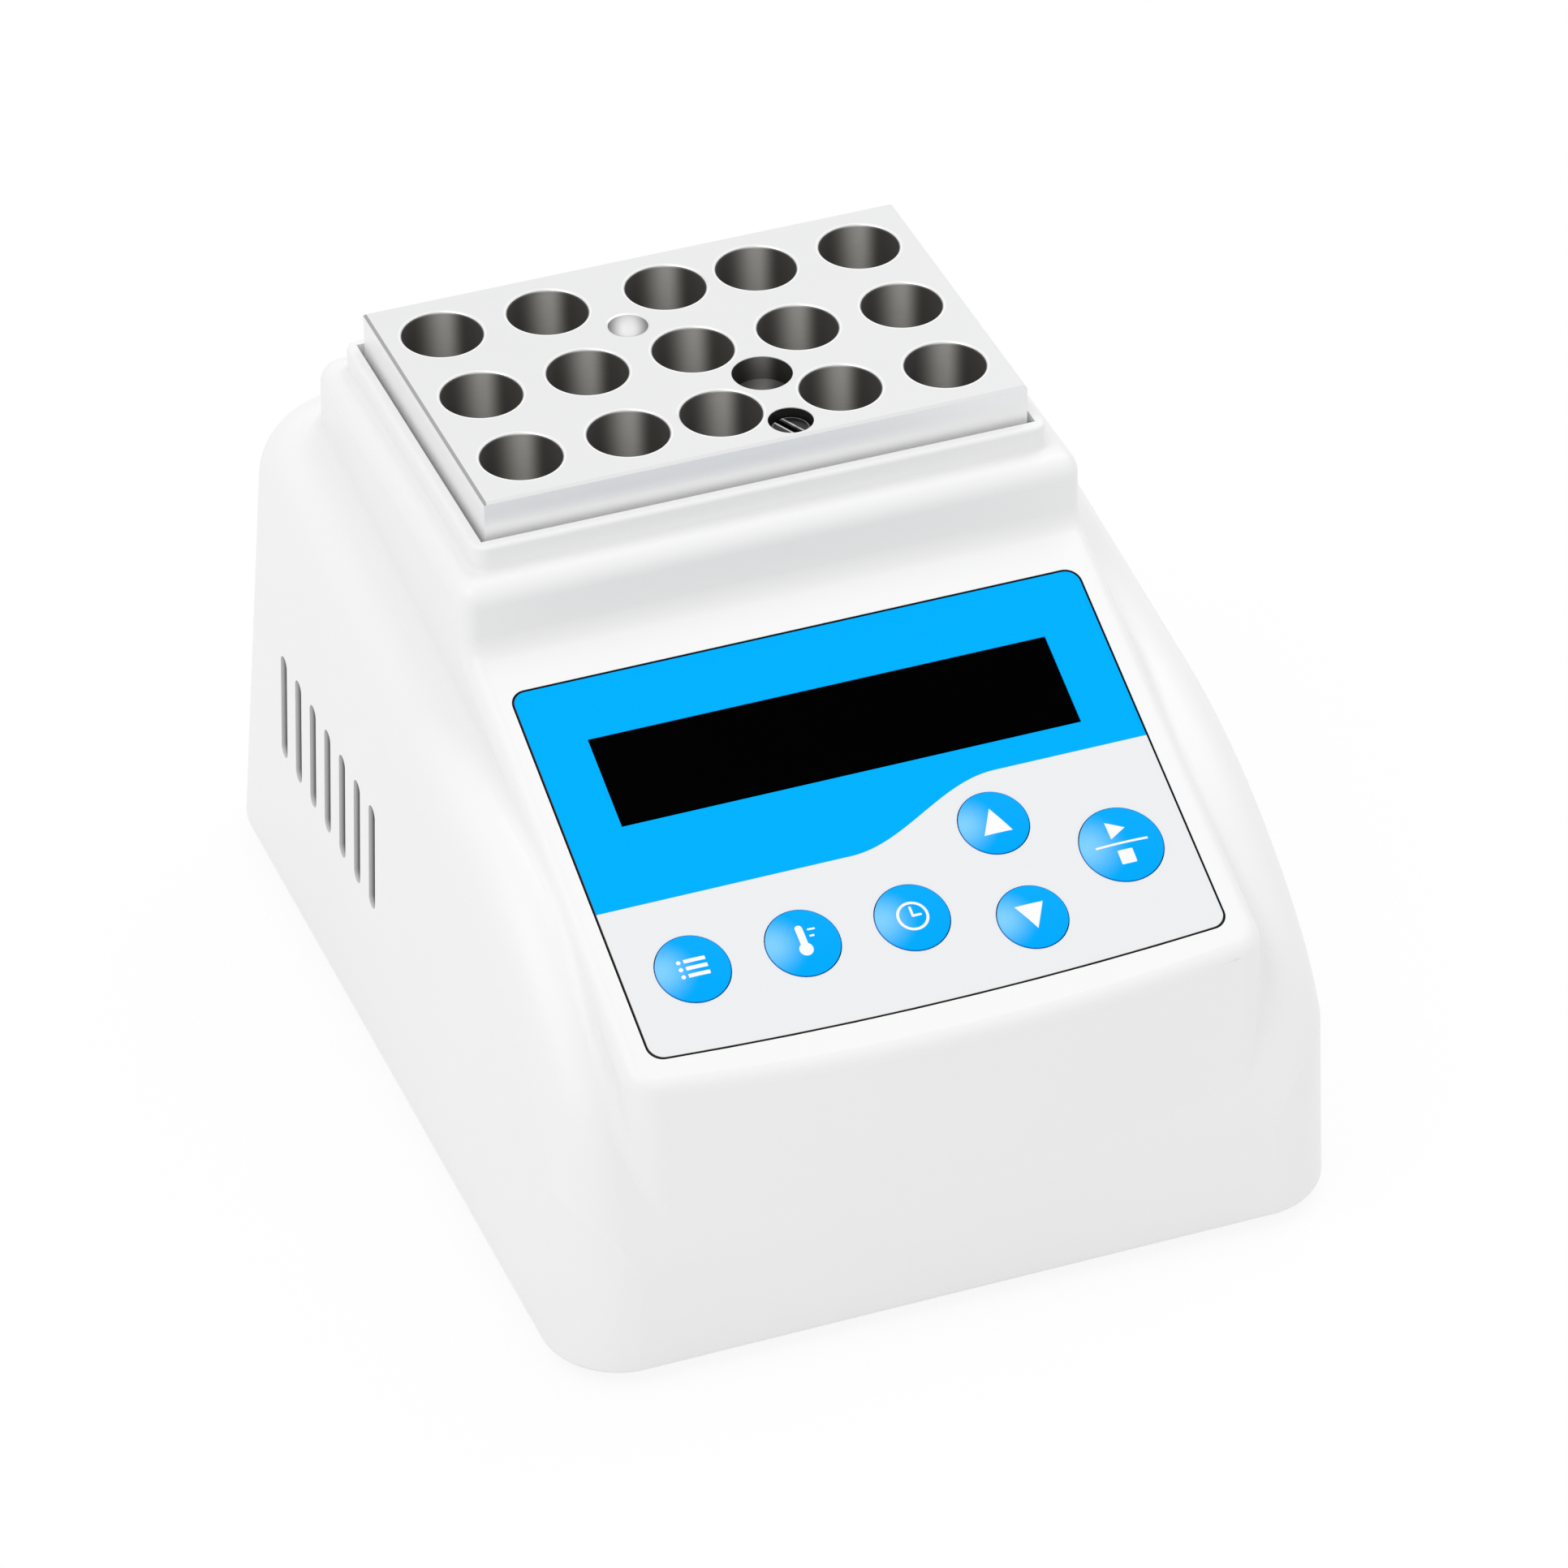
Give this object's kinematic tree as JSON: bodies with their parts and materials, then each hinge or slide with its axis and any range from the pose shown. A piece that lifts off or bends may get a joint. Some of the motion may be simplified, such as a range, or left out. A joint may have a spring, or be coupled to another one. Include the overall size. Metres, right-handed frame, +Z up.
{
  "type": "dry bath incubator",
  "caption": "Small dry bath: white moulded housing with sloping key panel and a lift-out drilled aluminium block for sample tubes, with heater and control parts inside.",
  "frame": {"origin": "on the bench under the middle of the whole width and depth, the power rocker at the back included", "axes": "+X to the right of someone facing the keys, +Y to the back, +Z up"},
  "size_m": [0.1108, 0.1482, 0.091],
  "materials": {
    "white_shell": "moulded ABS, satin gloss",
    "machined_block": "machined, clear anodised",
    "milled_plate": "milled",
    "black_screw": "blackened steel",
    "steel_screws": "zinc plated",
    "blue_keys": "smooth",
    "printed_panel": "printed film, blue above and pale below",
    "black_window": "clear, backed in black",
    "panel_glass": "display cell",
    "backlight": "milky",
    "black_plastic": "moulded",
    "grey_plastic": "moulded",
    "green_plastic": "moulded",
    "circuit_board": "solder mask",
    "foam": "needled ceramic fibre",
    "red_silicone": "silicone",
    "black_rubber": "moulded",
    "sheet_steel": "zinc coated",
    "brass": "turned",
    "black_sink": "black anodised",
    "capacitor_sleeve": "shrink sleeve"
  },
  "bodies": {
    "housing": {"base_plate": "sheet_steel", "base_screws": "steel_screws", "board_screws": "steel_screws", "board_standoffs": "brass", "buzzer": "black_plastic", "capacitors": "capacitor_sleeve", "carrier_pillars": "brass", "carrier_plate": "sheet_steel", "carrier_screws": "steel_screws", "control_board": "circuit_board", "controller_chip": "black_plastic", "display_backlight": "backlight", "display_bezel": "sheet_steel", "display_board": "circuit_board", "display_glass": "panel_glass", "display_lens": "black_window", "display_screws": "steel_screws", "heat_sink": "black_sink", "heater_film": "red_silicone", "heater_plate": "milled_plate", "heater_screws": "steel_screws", "heater_spacers": "grey_plastic", "inlet_nut": "black_plastic", "inlet_pin": "brass", "insulation_pad": "foam", "insulation_sleeve": "foam", "key_switches": "black_plastic", "keypad_board": "circuit_board", "keypad_screws": "steel_screws", "membrane_panel": "printed_panel", "pillar_screws": "steel_screws", "power_inlet": "black_plastic", "power_switch_body": "black_plastic", "power_transistor": "black_plastic", "rocker_pin": "steel_screws", "rubber_feet": "black_rubber", "switch_terminals": "brass", "temperature_probe": "sheet_steel", "terminal_blocks": "green_plastic", "thermal_fuse": "sheet_steel", "upper_housing": "white_shell"},
    "block": {"heating_block": "machined_block"},
    "screw": {"block_screw": "black_screw"},
    "rocker": {"power_rocker": "black_plastic"},
    "down_button": {"down_key": "blue_keys", "down_plunger": "grey_plastic"},
    "program_button": {"program_key": "blue_keys", "program_plunger": "grey_plastic"},
    "start_stop_button": {"start_stop_key": "blue_keys", "start_stop_plunger": "grey_plastic"},
    "temperature_button": {"temperature_key": "blue_keys", "temperature_plunger": "grey_plastic"},
    "time_button": {"time_key": "blue_keys", "time_plunger": "grey_plastic"},
    "up_button": {"up_key": "blue_keys", "up_plunger": "grey_plastic"}
  },
  "joints": [
    {"name": "block_lift", "type": "slide", "parent": "housing", "child": "block", "axis": [0, 0, 1], "range_m": [0, 0.06]},
    {"name": "screw_turn", "type": "hinge", "parent": "block", "child": "screw", "pos_m": [0.0061, 0.00425, 0.0898], "axis": [0, 0, 1], "continuous": true},
    {"name": "power_rocker_tilt", "type": "hinge", "parent": "housing", "child": "rocker", "pos_m": [0.022, 0.06374, 0.02166], "axis": [-1, 0, 0], "range_deg": [0, 20]},
    {"name": "down_press", "type": "slide", "parent": "housing", "child": "down_button", "axis": [0, 0.3907, -0.9205], "range_m": [0, 0.00035], "stiffness_N_per_m": 800},
    {"name": "program_press", "type": "slide", "parent": "housing", "child": "program_button", "axis": [0, 0.3907, -0.9205], "range_m": [0, 0.00035], "stiffness_N_per_m": 800},
    {"name": "start_stop_press", "type": "slide", "parent": "housing", "child": "start_stop_button", "axis": [0, 0.3907, -0.9205], "range_m": [0, 0.00035], "stiffness_N_per_m": 800},
    {"name": "temperature_press", "type": "slide", "parent": "housing", "child": "temperature_button", "axis": [0, 0.3907, -0.9205], "range_m": [0, 0.00035], "stiffness_N_per_m": 800},
    {"name": "time_press", "type": "slide", "parent": "housing", "child": "time_button", "axis": [0, 0.3907, -0.9205], "range_m": [0, 0.00035], "stiffness_N_per_m": 800},
    {"name": "up_press", "type": "slide", "parent": "housing", "child": "up_button", "axis": [0, 0.3907, -0.9205], "range_m": [0, 0.00035], "stiffness_N_per_m": 800}
  ]
}
